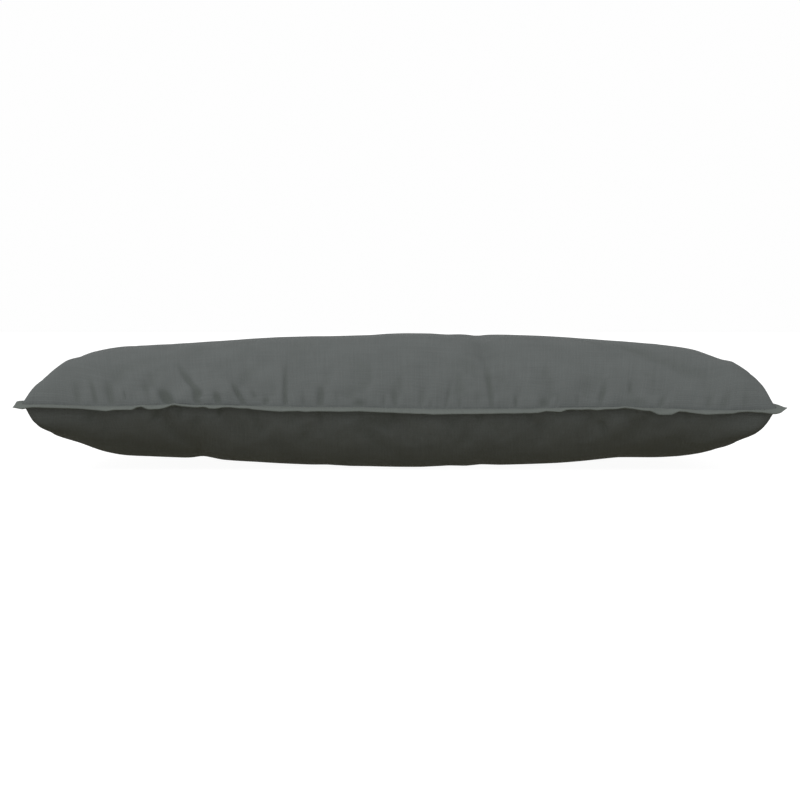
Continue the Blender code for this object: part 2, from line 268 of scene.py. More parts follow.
class Graph:
    """The node tree of a material or of the world, filled a node at a time."""

    def __init__(self, owner: bpy.types.ID) -> None:
        """Empties the owner's tree.

        Args:
            owner: A material or the world.
        """
        self.owner = owner
        owner.use_nodes = True
        owner.node_tree.nodes.clear()

    def node(self, kind: str, sockets: dict[int | str, Any], output: int | str = 0, **settings: Any) -> Wire:
        """Adds a node.

        Args:
            kind: The node's type.
            sockets: A value or a wire for each input.
            output: The output that is handed back.
            settings: The node's properties, set before its sockets.

        Returns:
            That output, or the first input of a node without one.
        """
        made = self.owner.node_tree.nodes.new(kind)
        for name, value in settings.items():
            setattr(made, name, value)
        for name, value in sockets.items():
            if isinstance(value, Wire):
                self.owner.node_tree.links.new(value.socket, made.inputs[name])
            else:
                made.inputs[name].default_value = value
        return Wire(self, made.outputs[output] if made.outputs else made.inputs[0])

    def blend(self, low: Any, high: Any, share: Value) -> Wire:
        """A colour between two colours."""
        return self.node("ShaderNodeMix", {0: share, 6: low, 7: high}, 2, data_type="RGBA")

    def dyed(self, colour: Colour, darkest: float, lightest: float, tone: Wire) -> Wire:
        """A colour, from its darkest shade to its lightest."""
        return self.blend(shade(colour, darkest), shade(colour, lightest), tone)

    def noise(self, place: Wire, scale: float, detail: float = 2.0, dimensions: str = "3D") -> Wire:
        """Noise between 0 and 1."""
        sockets = {"Vector": place, "Scale": scale, "Detail": detail}
        return self.node("ShaderNodeTexNoise", sockets, noise_dimensions=dimensions)

    def grain(self, chart: Wire, across: float, along: float, detail: float = 2.0) -> Wire:
        """Noise whose marks are so many metres across and along the cloth."""
        placed = self.node("ShaderNodeMapping", {"Vector": chart, "Scale": (1 / across, 1 / along, 1)})
        return self.noise(placed, 1.0, detail, "2D")

    def bump(self, height: Wire, depth: float) -> Wire:
        """Normals raised by a height between 0 and 1 that is so many metres deep."""
        return self.node("ShaderNodeBump", {"Height": height, "Distance": depth})

    def surface(self, sockets: dict[int | str, Any]) -> None:
        """Ends a material's tree in one Principled shader with these sockets."""
        face = self.node("ShaderNodeBsdfPrincipled", sockets)
        self.node("ShaderNodeOutputMaterial", {"Surface": face})


def shade(colour: Colour, share: float = 1.0) -> tuple[float, float, float, float]:
    """A colour made lighter or darker by a share, with its alpha."""
    return tuple(part * share for part in colour) + (1.0,)


@dataclass(frozen=True)
class WovenCloth:
    """Plain-woven outdoor cloth, dyed in the yarn, with uneven threads and a dry face.

    A tone is a share of the way from the darkest colour to the lightest, and a relief is in millimetres. The
    creases are darkened as painted shade, and their ridges a little lightened as painted light.
    """

    name: str
    colour: Colour
    darkest: float = 0.80
    lightest: float = 1.20
    pitch: float = 1.15 * MM
    thread_tone: float = 0.20
    thread_relief: float = 0.16
    slub_length: float = 45 * MM
    slub_tone: float = 0.75
    slub_relief: float = 0.05
    mottle_size: Pair = (30 * MM, 24 * MM)
    mottle_detail: float = 4.0
    mottle_tone: float = 0.45
    tone_drop: float = 0.20
    crumple_size: Pair = (13 * MM, 10 * MM)
    crumple_detail: float = 3.0
    crumple_relief: float = 0.10
    # Painted shade in the creases: how their depth is scaled, how far it lowers the tone, the dark colour it
    # blends towards and how much
    crease_shade_scale: float = 0.8
    crease_shade_drop: float = 0.15
    crease_shade_colour: Colour = (0.060, 0.069, 0.060)
    crease_shade_share: float = 0.56
    roughness: float = 0.88
    gap_roughness: float = 0.08
    gloss: float = 0.05
    sheen: float = 0.015
    sheen_roughness: float = 0.6

    def material(self) -> Material:
        """Makes the cloth's material on the piece's own chart, which is in metres, with painted shade in the
        creases.

        Returns:
            The material.
        """
        graph = Graph(bpy.data.materials.new(self.name))
        chart = graph.node("ShaderNodeUVMap", {}, uv_map=CHART)
        split = graph.node("ShaderNodeSeparateXYZ", {0: chart})
        turn = math.pi / self.pitch
        warp = (split * turn).sine()
        weft = (split.part("Y") * turn).sine()
        over = warp * weft * 0.5 + 0.5
        thread = (abs(warp) * over).or_higher(abs(weft) * (1 - over))
        slub = graph.grain(chart, self.pitch, self.slub_length) * over
        slub = slub + graph.grain(chart, self.slub_length, self.pitch) * (1 - over)
        mottle = graph.grain(chart, *self.mottle_size, self.mottle_detail)
        # Painted shade: the colour darkens and turns towards a dark green with each crease's depth; ridges,
        # below 0, are painted a little lighter
        crease = graph.node("ShaderNodeAttribute", {}, "Fac", attribute_name=CREASE)
        depth = (crease * self.crease_shade_scale).levelled()
        tone = slub * self.slub_tone + thread * self.thread_tone + mottle * self.mottle_tone
        tone = tone - depth * self.crease_shade_drop - self.tone_drop
        colour = graph.dyed(self.colour, self.darkest, self.lightest, tone)
        colour = graph.blend(colour, shade(self.crease_shade_colour), depth * self.crease_shade_share)
        crumple = graph.grain(chart, *self.crumple_size, self.crumple_detail)
        height = thread * self.thread_relief + slub * self.slub_relief + crumple * self.crumple_relief
        sockets = {
            "Base Color": colour,
            "Roughness": self.roughness + (1 - thread) * self.gap_roughness,
            "Specular IOR Level": self.gloss,
            "Sheen Weight": self.sheen,
            "Sheen Roughness": self.sheen_roughness,
            "Normal": graph.bump(height, MM),
        }
        graph.surface(sockets)
        return graph.owner


@dataclass(frozen=True)
class SewingThread:
    """Two-ply sewing thread in the cloth's own colour."""

    name: str
    colour: Colour
    darkest: float = 0.75
    lightest: float = 1.2
    ply: float = 0.9 * MM
    ply_tone: float = 0.7
    ply_relief: float = 0.06 * MM
    fuzz_scale: float = 900.0
    fuzz_tone: float = 0.3
    roughness: float = 0.62
    groove_roughness: float = 0.2
    gloss: float = 0.35
    sheen: float = 0.15

    def material(self) -> Material:
        """Makes the thread's material, its plies turned across each stitch.

        Returns:
            The material.
        """
        graph = Graph(bpy.data.materials.new(self.name))
        place = graph.node("ShaderNodeTexCoord", {}, "Object")
        split = graph.node("ShaderNodeSeparateXYZ", {0: place})
        turn = 2 * math.pi / self.ply
        plies = ((split + split.part("Y") + split.part("Z") * 2) * turn).sine() * 0.5 + 0.5
        fuzz = graph.noise(place, self.fuzz_scale)
        tone = plies * self.ply_tone + fuzz * self.fuzz_tone
        sockets = {
            "Base Color": graph.dyed(self.colour, self.darkest, self.lightest, tone),
            "Roughness": self.roughness + (1 - plies) * self.groove_roughness,
            "Specular IOR Level": self.gloss,
            "Sheen Weight": self.sheen,
            "Normal": graph.bump(plies, self.ply_relief),
        }
        graph.surface(sockets)
        return graph.owner


def add_object(name: str, data: bpy.types.ID) -> Object:
    """Puts a new object into the scene, at the origin.

    Args:
        name: Its name.
        data: A mesh, a camera or a light.

    Returns:
        The object.
    """
    made = bpy.data.objects.new(name, data)
    bpy.context.scene.collection.objects.link(made)
    return made


def finished_mesh(name: str, bm: bmesh.types.BMesh) -> Mesh:
    """Turns a bmesh into a mesh.

    Args:
        name: The mesh's name.
        bm: The bmesh, which is freed.

    Returns:
        The mesh.
    """
    mesh = bpy.data.meshes.new(name)
    bm.to_mesh(mesh)
    bm.free()
    return mesh


def dress(piece: Object, material: Material) -> None:
    """Shades a piece smooth, gives it its finish and makes it ride with the cushion.

    Args:
        piece: The piece.
        material: Its finish.
    """
    piece.data.shade_smooth()
    piece.data.materials.append(material)
    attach(piece, "root")


def vectors(source: bpy.types.bpy_prop_collection, name: str = "vector") -> Array:
    """Reads a vector of each of a mesh's points.

    Args:
        source: The points, their normals or an attribute's data.
        name: What is read of each one.

    Returns:
        The vectors, one row each.
    """
    rows = np.empty(len(source) * 3, dtype=np.float32)
    source.foreach_get(name, rows)
    return rows.reshape(-1, 3).astype(float)


def set_points(mesh: Mesh, points: Array) -> None:
    """Moves the mesh's points, none of them below the surface that the cushion lies on."""
    mesh.vertices.foreach_set("co", np.maximum(points, LOWEST).astype(np.float32).ravel())
    mesh.update()


def on_panel(flat: Array, panel: Panel) -> Array:
    """Which points are the panel's own and not the seam's."""
    return flat[:, 2] * panel.value > 0.5


def smooth_step(value: Array, low: float, high: float) -> Array:
    """0 below low, 1 above high, and a soft rise between."""
    share = np.clip((value - low) / (high - low), 0, 1)
    return share * share * (3 - 2 * share)


def unevenness(x: float, y: float, grain: float, layer: float) -> float:
    """Noise between -1 and 1 over the plan, with so many marks to the metre, different in each layer."""
    return noise.noise(Vector((x * grain, y * grain, layer)))


@dataclass
class CadSolid:
    """A CAD node that the dressing is measured from."""

    node: str
    tree: BVHTree = field(init=False)

    def __post_init__(self) -> None:
        """Reads the node's faces."""
        self.tree = BVHTree.FromObject(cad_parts[self.node], bpy.context.evaluated_depsgraph_get())

    def skin(self, x: float, y: float, panel: Panel) -> float | None:
        """Height of the solid's upper or lower skin at a place of the plan, or None outside it."""
        hit = self.tree.ray_cast(Vector((x, y, panel.value)), Vector((0, 0, -panel.value)))
        return hit[0].z if hit[0] is not None else None


@dataclass
class SeamLine:
    """The line, drawn in between its corners, along which the panels and the flange are sewn.

    A point of it is given on a square: u runs from -1 at the left to 1 at the right, v from front to back.
    """

    body: CadSolid
    flange: CadSolid
    end_pull: float = 4 * MM
    side_pull: float = 13 * MM
    pull_power: int = 3
    swell_left: float = 1.2 * MM
    swell_right: float = 0.7 * MM
    flange_width: float = 8.5 * MM
    flange_half: float = 1.5 * MM
    flange_probe: float = 1.2 * MM
    hidden_drop: float = 2.3 * MM
    hidden_share: float = 1.1
    hidden_grain: float = 28.0
    hidden_layer: float = 5.3
    seen_ends: Pair = (-165.0, -110.0)
    half_x: float = field(init=False)
    half_y: float = field(init=False)

    def __post_init__(self) -> None:
        """Takes the body's half length and half depth from the CAD node."""
        self.half_x, self.half_y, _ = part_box(self.body.node)[1]

    def cad_plan(self, u: float, v: float, out: float) -> Pair:
        """Plan place of a point of the square, by the CAD solids, with the seam let out so far."""
        x = u * (self.half_x + out - self.end_pull * (1 - abs(v) ** self.pull_power))
        return x, v * (self.half_y + out - self.side_pull * (1 - abs(u) ** self.pull_power))

    def plan(self, u: float, v: float, out: float = 0.0) -> Pair:
        """The same, with the body's ends a little fuller than the CAD body's."""
        x, y = self.cad_plan(u, v, out)
        return x + self.swell(u) * (1 - min(max(out / self.flange_width, 0.0), 1.0)), y

    def skin(self, x: float, y: float, panel: Panel) -> float | None:
        """Height of the CAD body's skin at a place of the plan, or None outside it."""
        return self.body.skin(x - self.swell(x / self.half_x), y, panel)

    def swell(self, u: float) -> float:
        """How far the filled body reaches past the CAD body there, along the cushion."""
        return ((self.swell_right + self.swell_left) * u + self.swell_right - self.swell_left) / 2

    def heights(self, u: float, v: float) -> Pair:
        """Height of the seam and the fold's drop below it, as seen or, where hidden, by the CAD flange.

        Args:
            u: The point's place along the square.
            v: The same, across it.

        Returns:
            The height and the drop.
        """
        if v < -ON_SEAM:
            edge, seen = Edge.FRONT, 1.0
            along, fold_along = u * self.half_x / MM, u * (self.half_x + self.flange_width) / MM
        else:
            edge = Edge.RIGHT if u > 0 else Edge.LEFT
            along = fold_along = v * self.half_y / MM
            seen = 1.0 - float(smooth_step(np.float64(along), *self.seen_ends))
        places, roots, folds = zip(*SEAM_HEIGHTS[edge])
        root, fold = float(np.interp(along, places, roots)), float(np.interp(fold_along, places, folds))
        level = self.flange.skin(*self.cad_plan(u, v, self.flange_probe), Panel.TOP) - self.flange_half
        uneven = unevenness(*self.plan(u, v), self.hidden_grain, self.hidden_layer)
        drop = self.hidden_drop * (1 + self.hidden_share * uneven)
        return level + (root * MM - level) * seen, drop + ((root - fold) * MM - drop) * seen


@dataclass(frozen=True)
class FlatCut:
    """The flat cut that both panels share, and the cells of its grid."""

    size: Pair = (612 * MM, 391 * MM)
    cells: tuple[int, int] = (126, 80)

    def from_edges(self, flat: Array) -> tuple[Array, Array]:
        """How far each point lies from the nearer end and from the nearer long side, in cloth."""
        return self.size[0] / 2 - abs(flat[:, 0]), self.size[1] / 2 - abs(flat[:, 1])


@dataclass(frozen=True)
class Filling:
    """The filling: how it swells the sewn cover as simulated cloth, and how much of the creases is kept."""

    cut: FlatCut
    frames: int = 20
    quality: int = 6
    mass: float = 0.2
    pressure: float = 4.0
    gather: float = 0.07
    gather_reach: float = 45 * MM
    stretch_stiffness: float = 40.0
    shear_stiffness: float = 40.0 / 3
    bending_stiffness: float = 0.15
    air_damping: float = 2.0
    sewn_reach: float = 0.1 * MM
    calm_reach: float = 22 * MM
    calm_spread: int = 3
    calm_turn: float = 20 * MM
    keep_back: float = 0.85
    keep_front: float = 0.50
    keep_turn: Pair = (-0.42, -0.18)
    off_ground: Pair = (0.3 * MM, 5 * MM)
    off_seam: Pair = (-0.1 * MM, 9 * MM)
    off_corner: Pair = (33 * MM, 110 * MM)
    cap: float = 22 * MM
    smallest: float = 1e-9

    def set_up(self, piece: Object, near: Array) -> bpy.types.Modifier:
        """Gives the cover its Cloth modifier.

        Args:
            piece: The cover.
            near: How far each of its points lies from the nearest seam.

        Returns:
            The modifier.
        """
        sewn = piece.vertex_groups.new(name="sewn")
        sewn.add(np.flatnonzero(near < self.sewn_reach).tolist(), 1.0, "REPLACE")
        slack = piece.vertex_groups.new(name="slack")
        for index, share in enumerate(smooth_step(near, 0.0, self.gather_reach)):
            slack.add([index], float(share), "REPLACE")
        cloth = piece.modifiers.new("filling", "CLOTH")
        cloth.collision_settings.use_collision = False
        cloth.point_cache.frame_end = self.frames
        settings = cloth.settings
        settings.quality = self.quality
        settings.mass = self.mass
        settings.use_pressure = True
        settings.uniform_pressure_force = self.pressure
        settings.vertex_group_mass = sewn.name
        settings.vertex_group_shrink = slack.name
        settings.shrink_min = -self.gather
        settings.tension_stiffness = settings.compression_stiffness = self.stretch_stiffness
        settings.shear_stiffness = self.shear_stiffness
        settings.bending_stiffness = self.bending_stiffness
        settings.air_damping = self.air_damping
        settings.effector_weights.gravity = 0.0
        return cloth

    def swell(self, piece: Object) -> None:
        """Swells the sewn cover and keeps the creases that its gathered seams make.

        Args:
            piece: The cover, whose mesh is changed.
        """
        mesh = piece.data
        start, flat = vectors(mesh.vertices, "co"), vectors(mesh.attributes[FLAT].data)
        from_edges = self.cut.from_edges(flat)
        near = np.minimum(*from_edges)
        cloth = self.set_up(piece, near)
        for number in range(1, self.frames + 1):
            bpy.context.scene.frame_set(number)
        swollen = piece.evaluated_get(bpy.context.evaluated_depsgraph_get()).data
        move = self.creases_only(vectors(swollen.vertices, "co") - start, flat)
        piece.modifiers.remove(cloth)
        piece.vertex_groups.clear()
        bpy.context.scene.frame_set(1)
        low, high = (self.cut.size[1] * share for share in self.keep_turn)
        keep = self.keep_front + (self.keep_back - self.keep_front) * smooth_step(flat[:, 1], low, high)
        keep = keep * smooth_step(start[:, 2], *self.off_ground) * smooth_step(near, *self.off_seam)
        keep = keep * smooth_step(np.hypot(*from_edges), *self.off_corner)
        move = move * keep[:, None]
        longest = np.maximum(np.linalg.norm(move, axis=1), self.smallest)
        move *= np.minimum(1.0, self.cap / longest)[:, None]
        # The swollen creases' depth is kept for the painted shade in the cloth's colour
        trough = -np.sum(move * vectors(mesh.vertex_normals), axis=1) / MM
        mesh.attributes[CREASE].data.foreach_set("value", trough.astype(np.float32))
        set_points(mesh, start + move)

    def creases_only(self, move: Array, flat: Array) -> Array:
        """Takes the broad swelling out of how far the points moved, and leaves the creases.

        Args:
            move: How far each point moved.
            flat: Each point's place on the flat cloth, and its panel.

        Returns:
            The moves without their broad part.
        """
        (length, depth), (columns, rows) = self.cut.size, self.cut.cells
        column = np.rint((flat[:, 0] / length + 0.5) * columns).astype(int)
        row = np.rint((flat[:, 1] / depth + 0.5) * rows).astype(int)
        sheet = (flat[:, 2] < 0).astype(int)
        grid = np.zeros((2, rows + 1, columns + 1, 3))
        grid[sheet, row, column] = move
        from_end, from_side = self.cut.from_edges(flat)
        long_seam = smooth_step(from_end - from_side, -self.calm_turn, self.calm_turn)[:, None]
        crosswise, lengthwise = (self.blur(grid, axis)[sheet, row, column] for axis in (1, 2))
        return move - lengthwise * long_seam - crosswise * (1 - long_seam)

    def blur(self, grid: Array, axis: int) -> Array:
        """Smooths the panels' grids along one axis.

        Args:
            grid: Values by panel, row and column.
            axis: The axis.

        Returns:
            The smoothed values.
        """
        cells = self.calm_reach / (self.cut.size[0] / self.cut.cells[0])
        reach = int(self.calm_spread * cells)
        weights = np.exp(-0.5 * (np.arange(-reach, reach + 1) / cells) ** 2)
        weights /= weights.sum()
        edges = [(0, 0)] * grid.ndim
        edges[axis] = (reach, reach)
        padded = np.pad(grid, edges, mode="reflect")
        size = grid.shape[axis]
        return sum(w * np.take(padded, range(k, k + size), axis=axis) for k, w in enumerate(weights))


@dataclass(frozen=True)
class Trimming:
    """The small lifts that bring the cushion's outline to the photograph's."""

    cut: FlatCut
    start: float = 12 * MM
    full: float = 80 * MM
    broad: int = 51
    fine: int = 9
    reach: int = 300

    def lifts(self, points: Array, flat: Array) -> Array:
        """How much each point is lifted: by broad lifts everywhere, and by fine ones up to the crest.

        Args:
            points: The cover's points.
            flat: Their places on the flat cloth, and their panel.

        Returns:
            The lifts.
        """
        lifts = np.zeros(len(points))
        from_edges = self.cut.from_edges(flat)
        inner = smooth_step(from_edges[1], self.start, self.full)
        before = 1 - smooth_step(flat[:, 1], 0.0, self.full)
        places = np.arange(-self.reach, self.reach + 1)
        for panel, rows in PANEL_TRIMS.items():
            line = np.interp(places, *zip(*rows))
            windows = (np.hanning(wide) * 2 / (wide - 1) for wide in (self.broad, self.fine))
            broad, fine = (
                np.interp(points[:, 0] / MM, places, np.convolve(line, window, "same")) for window in windows
            )
            lifts += (broad + (fine - broad) * before) * MM * inner * on_panel(flat, panel)
        off_corner = np.hypot(*from_edges) / MM
        off_seam = smooth_step(np.minimum(*from_edges), 0.0, self.start)
        for trim in CORNER_TRIMS:
            ring = np.exp(-(((off_corner - trim.ring) / trim.spread) ** 2))
            there = on_panel(flat, trim.panel) & (flat[:, 0] * trim.end > 0) & (flat[:, 1] < 0)
            lifts += trim.lift * MM * ring * there * off_seam
        return lifts


@dataclass(frozen=True)
class HiddenPuckers:
    """Small seeded creases beside the seams that the photograph doesn't show, in millimetres."""

    seed: int = 23
    first: Pair = (14, 26)
    spacing: Pair = (11, 24)
    end_margin: float = 14
    start: Pair = (1, 4)
    half_width: Pair = (2.2, 3.4)
    lean: Pair = (-0.3, 0.3)
    long_share: float = 0.22
    long_reach: Pair = (30, 52)
    long_depth: Pair = (0.8, 1.2)
    short_reach: Pair = (12, 24)
    short_depth: Pair = (0.4, 0.8)
    depth_shares: tuple[tuple[Edge, float], ...] = ((Edge.RIGHT, 0.4), (Edge.BACK, 1.0), (Edge.LEFT, 0.4))

    def draw(self, halves: Pair) -> list[tuple[Edge, Pucker]]:
        """Draws the creases.

        Args:
            halves: Half the seam's length and half its depth, in metres.

        Returns:
            The seam that each one is on, and the crease.
        """
        chance = random.Random(self.seed)
        found = []
        for edge, share in self.depth_shares:
            half = halves[edge.value[0]] / MM
            for panel in Panel:
                along = -half + chance.uniform(*self.first)
                while along < half - self.end_margin:
                    long = chance.random() < self.long_share
                    reach = chance.uniform(*(self.long_reach if long else self.short_reach))
                    depth = share * chance.uniform(*(self.long_depth if long else self.short_depth))
                    half_width = chance.uniform(*self.half_width)
                    lean = chance.uniform(*self.lean) * reach
                    start = chance.uniform(*self.start)
                    found.append((edge, Pucker(panel, along, start, reach, half_width, depth, lean)))
                    along += chance.uniform(*self.spacing)
        return found


@dataclass
class Cover:
    """The filled cover: two flat-cut panels, sewn together all round and swollen by their filling."""

    seam: SeamLine
    finish: WovenCloth
    cut: FlatCut
    filling: Filling
    trimming: Trimming
    hidden: HiddenPuckers
    lip: float = 1.2 * MM
    measured: int = 400
    straighten: int = 4
    corner_power: int = 20
    chart_gap: float = 1.0
    fine_reach: float = 62 * MM
    fine_rounding: float = 0.6
    deepen: float = 2.0
    rise: Pair = (-0.04, 0.06)
    fall: Pair = (0.35, 1.0)
    ridge: float = 0.42
    ridge_width: float = 2.2
    # Share of the swollen creases' depth that goes into the painted crease shade
    swollen_shade_share: float = 0.4

    def reach_table(self, panel: Panel, way: Pair) -> tuple[Array, Array]:
        """Where along a panel's middle line each share of its cloth lies.

        Args:
            panel: The panel.
            way: (1, 0) for the long middle line, (0, 1) for the short one.

        Returns:
            The share of the cloth used up, from -1 to 1, and the place on the square there.
        """
        square = np.sin(np.linspace(-1, 1, self.measured) * math.pi / 2)
        places = []
        for share in square:
            x, y = self.seam.plan(share * way[0], share * way[1])
            skin = self.seam.skin(x * ON_SEAM, y * ON_SEAM, panel)
            places.append((x, y, skin if skin is not None else self.seam.heights(*way)[0]))
        runs = np.linalg.norm(np.diff(np.array(places), axis=0), axis=1)
        cloth = np.concatenate([[0.0], np.cumsum(runs)])
        return cloth * 2 / cloth[-1] - 1, square

    def add_panel(self, bm: bmesh.types.BMesh, panel: Panel) -> list[bmesh.types.BMEdge]:
        """Adds one panel, laid on the CAD body's skin by how its cloth is used up.

        Args:
            bm: The mesh that takes the panel.
            panel: The panel.

        Returns:
            The panel's open edges.
        """
        made = bmesh.ops.create_grid(bm, x_segments=self.cut.cells[0], y_segments=self.cut.cells[1], size=1.0)
        flat = bm.verts.layers.float_vector[FLAT]
        chart = bm.loops.layers.uv[CHART]
        tables = [self.reach_table(panel, way) for way in ((1.0, 0.0), (0.0, 1.0))]
        for vert in made["verts"]:
            a, b = vert.co.x, vert.co.y
            on_end, on_side = abs(a) > ON_SEAM, abs(b) > ON_SEAM
            u, v = (
                math.copysign(1, own) if on_edge else self.laid(own, other, table)
                for own, other, on_edge, table in ((a, b, on_end, tables[0]), (b, a, on_side, tables[1]))
            )
            x, y = self.seam.plan(u, v)
            z = None if on_end or on_side else self.seam.skin(x, y, panel)
            if z is None:
                z = self.seam.heights(u, v)[0] + panel.value * self.lip / 2
            corner = CORNER_FILLS[panel, 1 if a > 0 else -1] * MM * abs(a * b) ** self.corner_power
            vert[flat] = (a * self.cut.size[0] / 2, b * self.cut.size[1] / 2, panel.value)
            vert.co = (x + math.copysign(corner, a), y + math.copysign(corner, b), z)
        faces = list({face for vert in made["verts"] for face in vert.link_faces})
        if panel is Panel.BOTTOM:
            bmesh.ops.reverse_faces(bm, faces=faces)
        for face in faces:
            for loop in face.loops:
                x, y, _ = loop.vert[flat]
                loop[chart].uv = (x, y) if panel is Panel.TOP else (x + self.chart_gap, y)
        return [edge for edge in {edge for face in faces for edge in face.edges} if edge.is_boundary]

    def laid(self, own: float, other: float, table: tuple[Array, Array]) -> float:
        """Place on the square of a place on the cloth, which is spread evenly beside a seam."""
        even = abs(other) ** self.straighten
        return float(np.interp(own, *table)) * (1 - even) + own * even

    def sew(self) -> Mesh:
        """Makes both panels and joins them along the seam.

        Returns:
            The closed mesh, before it is filled.
        """
        bm = bmesh.new()
        flat = bm.verts.layers.float_vector.new(FLAT)
        bm.verts.layers.float.new(CREASE)
        chart = bm.loops.layers.uv.new(CHART)
        open_edges = self.add_panel(bm, Panel.TOP) + self.add_panel(bm, Panel.BOTTOM)
        for face in bmesh.ops.bridge_loops(bm, edges=open_edges)["faces"]:
            for loop in face.loops:
                x, y, side = loop.vert[flat]
                loop[chart].uv = (x, y + (0.0 if side > 0 else self.lip))
        bmesh.ops.recalc_face_normals(bm, faces=bm.faces)
        return finished_mesh("cover", bm)

    def divide(self, piece: Object) -> None:
        """Rounds the cover with one subdivision, applied, and makes the cloth finer along its front seam.

        Args:
            piece: The cover.
        """
        rounding = piece.modifiers.new("rounding", "SUBSURF")
        rounding.levels = rounding.render_levels = 1
        divided = bpy.data.meshes.new_from_object(piece.evaluated_get(bpy.context.evaluated_depsgraph_get()))
        piece.modifiers.remove(rounding)
        bm = bmesh.new()
        bm.from_mesh(divided)
        flat = bm.verts.layers.float_vector[FLAT]
        fine = []
        for edge in bm.edges:
            (x0, y0, side0), (x1, y1, side1) = (vert[flat] for vert in edge.verts)
            near = self.cut.size[1] / 2 + max(y0, y1) < self.fine_reach
            if side0 * side1 > 0.5 and near and abs(x1 - x0) > abs(y1 - y0):
                fine.append(edge)
        bmesh.ops.subdivide_edges(bm, edges=fine, cuts=1, smooth=self.fine_rounding, use_grid_fill=True)
        bm.to_mesh(divided)
        bm.free()
        piece.data = divided

    def crease_depth(self, flat: Array) -> Array:
        """How deep each point lies in the fine creases, each with a low ridge on its sides.

        Args:
            flat: The points' places on the flat cloth, and their panel.

        Returns:
            The depths in millimetres, less than 0 on a ridge.
        """
        halves = (self.seam.half_x, self.seam.half_y)
        depth = np.zeros(len(flat))
        for edge, pucker in [(Edge.FRONT, pucker) for pucker in FRONT_PUCKERS] + self.hidden.draw(halves):
            axis, side = edge.value
            along = flat[:, axis] * halves[axis] * 2 / self.cut.size[axis] / MM
            off = (self.cut.size[1 - axis] / 2 - side * flat[:, 1 - axis]) / MM
            share = (off - pucker.start) / pucker.reach
            length = smooth_step(share, *self.rise) * (1 - smooth_step(share, *self.fall))
            away = (along - pucker.along - pucker.lean * np.clip(share, 0, 1)) / pucker.half_width
            shape = np.exp(-(away**2)) - self.ridge * np.exp(-((away / self.ridge_width) ** 2))
            depth += self.deepen * pucker.depth * shape * length * on_panel(flat, pucker.panel)
        return depth

    def press(self, mesh: Mesh) -> None:
        """Presses the fine creases into the cloth along its normals, trims its outline and stores the
        creases' depth for the painted crease shade.

        Args:
            mesh: The divided cover.
        """
        points, flat = vectors(mesh.vertices, "co"), vectors(mesh.attributes[FLAT].data)
        normals = vectors(mesh.vertex_normals)
        depth = self.crease_depth(flat) * smooth_step(points[:, 2], *self.filling.off_ground)
        points[:, 2] += self.trimming.lifts(points, flat)
        # The creases' depth, swollen and pressed, is stored for the painted shade in the cloth's colour
        troughs = mesh.attributes[CREASE].data
        swollen = np.empty(len(points), dtype=np.float32)
        troughs.foreach_get("value", swollen)
        troughs.foreach_set("value", (swollen * self.swollen_shade_share + depth).astype(np.float32))
        set_points(mesh, points - normals * (depth * MM)[:, None])

    def build(self) -> Object:
        """Makes the finished cover.

        Returns:
            The cover.
        """
        piece = add_object("cover", self.sew())
        self.filling.swell(piece)
        self.divide(piece)
        self.press(piece.data)
        dress(piece, self.finish.material())
        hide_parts(self.seam.body.node)
        return piece


